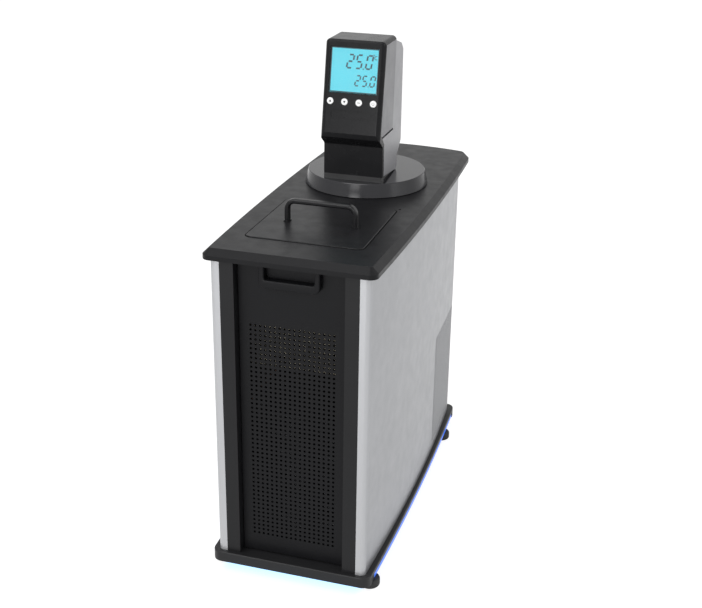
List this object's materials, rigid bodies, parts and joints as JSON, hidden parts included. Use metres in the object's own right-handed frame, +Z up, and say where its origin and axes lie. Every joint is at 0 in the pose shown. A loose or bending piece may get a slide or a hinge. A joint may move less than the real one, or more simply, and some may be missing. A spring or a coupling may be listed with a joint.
{
  "type": "refrigerated circulating bath",
  "caption": "Narrow refrigerated circulating bath: lidded reservoir and swivelling control head on a bow-sided chilled cabinet with pierced front grille.",
  "frame": {"origin": "on the ground under the middle of the deck's length and width", "axes": "+Z up, the control face and the front grille look towards -Y, +X to the right of someone facing the front"},
  "size_m": [0.236, 0.5619, 0.675],
  "materials": {
    "dark_housing": "matte",
    "black_gloss": "gloss",
    "silver_side": "satin",
    "grey_cheek": "satin",
    "light_panel": "satin",
    "black_post": "satin",
    "steel": "brushed",
    "copper": "satin",
    "aluminium": "satin",
    "compressor_black": "satin",
    "rubber": "matte",
    "foam": "matte",
    "light_bar": "gloss",
    "window": "clear",
    "screen": "gloss",
    "figures": "matte",
    "key_grey": "satin",
    "board": "matte",
    "plug": "matte",
    "ring": "matte"
  },
  "bodies": {
    "cabinet": {"base_tray": "dark_housing", "compressor": "compressor_black", "compressor_mounts": "rubber", "condenser": "aluminium", "deck": "dark_housing", "discharge_pipe": "copper", "drain_pipe": "plug", "evaporator_coil": "copper", "fan_motor": "compressor_black", "fan_shroud": "black_post", "foam": "foam", "foot_back_left": "rubber", "foot_back_right": "rubber", "foot_front_left": "rubber", "foot_front_right": "rubber", "front_grille": "dark_housing", "front_post_left": "black_post", "front_post_right": "black_post", "handle_screws": "steel", "inlet_socket": "ring", "lid": "dark_housing", "lid_handle": "black_gloss", "light_bar_front": "light_bar", "light_bar_left": "light_bar", "light_bar_right": "light_bar", "liquid_pipe": "copper", "power_box": "black_post", "rear_panel": "black_post", "reservoir": "steel", "side_panel_left": "light_panel", "side_panel_right": "light_panel", "suction_pipe": "copper", "switch_frame": "ring", "swivel_ring": "ring"},
    "head": {"disc": "dark_housing", "head_collar": "dark_housing", "head_front": "black_gloss", "head_cheek_left": "grey_cheek", "head_cheek_right": "grey_cheek", "head_side_left": "silver_side", "head_side_right": "silver_side", "head_rear": "dark_housing", "display_window": "window", "display_module": "screen", "display_figures": "figures", "circuit_board": "board", "pump_motor": "compressor_black", "pump_column": "steel", "heater_coil": "steel", "probe_rods": "steel", "port_plugs": "plug"},
    "key_up": {"key_up": "key_grey"},
    "key_down": {"key_down": "key_grey"},
    "key_enter": {"key_enter": "key_grey"},
    "key_power": {"key_power": "key_grey"},
    "pump_rotor": {"pump_rotor": "steel"},
    "fan_rotor": {"fan_rotor": "compressor_black"},
    "power_switch": {"power_switch": "ring"},
    "safety_dial": {"safety_dial": "plug"},
    "level_float": {"level_float": "plug"}
  },
  "joints": [
    {"name": "head_swivel", "type": "hinge", "parent": "cabinet", "child": "head", "pos_m": [0, 0.06, 0.4635], "axis": [0, 0, 1], "range_deg": [-90, 90]},
    {"name": "key_up_press", "type": "slide", "parent": "head", "child": "key_up", "axis": [0, 0.9848, -0.1736], "range_m": [0, 0.0008], "stiffness_N_per_m": 200},
    {"name": "key_down_press", "type": "slide", "parent": "head", "child": "key_down", "axis": [0, 0.9848, -0.1736], "range_m": [0, 0.0008], "stiffness_N_per_m": 200},
    {"name": "key_enter_press", "type": "slide", "parent": "head", "child": "key_enter", "axis": [0, 0.9848, -0.1736], "range_m": [0, 0.0008], "stiffness_N_per_m": 200},
    {"name": "key_power_press", "type": "slide", "parent": "head", "child": "key_power", "axis": [0, 0.9848, -0.1736], "range_m": [0, 0.0008], "stiffness_N_per_m": 200},
    {"name": "pump_spin", "type": "hinge", "parent": "head", "child": "pump_rotor", "pos_m": [0, 0.032, 0.42], "axis": [0, 0, 1], "continuous": true},
    {"name": "fan_spin", "type": "hinge", "parent": "cabinet", "child": "fan_rotor", "pos_m": [0, -0.214, 0.15], "axis": [0, 1, 0], "continuous": true},
    {"name": "power_rocker", "type": "hinge", "parent": "cabinet", "child": "power_switch", "pos_m": [-0.052, 0.223, 0.12], "axis": [-1, 0, 0], "range_deg": [0, 16]},
    {"name": "safety_turn", "type": "hinge", "parent": "head", "child": "safety_dial", "pos_m": [-0.02, 0.091, 0.575], "axis": [0, 1, 0], "range_deg": [0, 270]},
    {"name": "float_rise", "type": "slide", "parent": "head", "child": "level_float", "axis": [0, 0, 1], "range_m": [0, 0.01]}
  ]
}
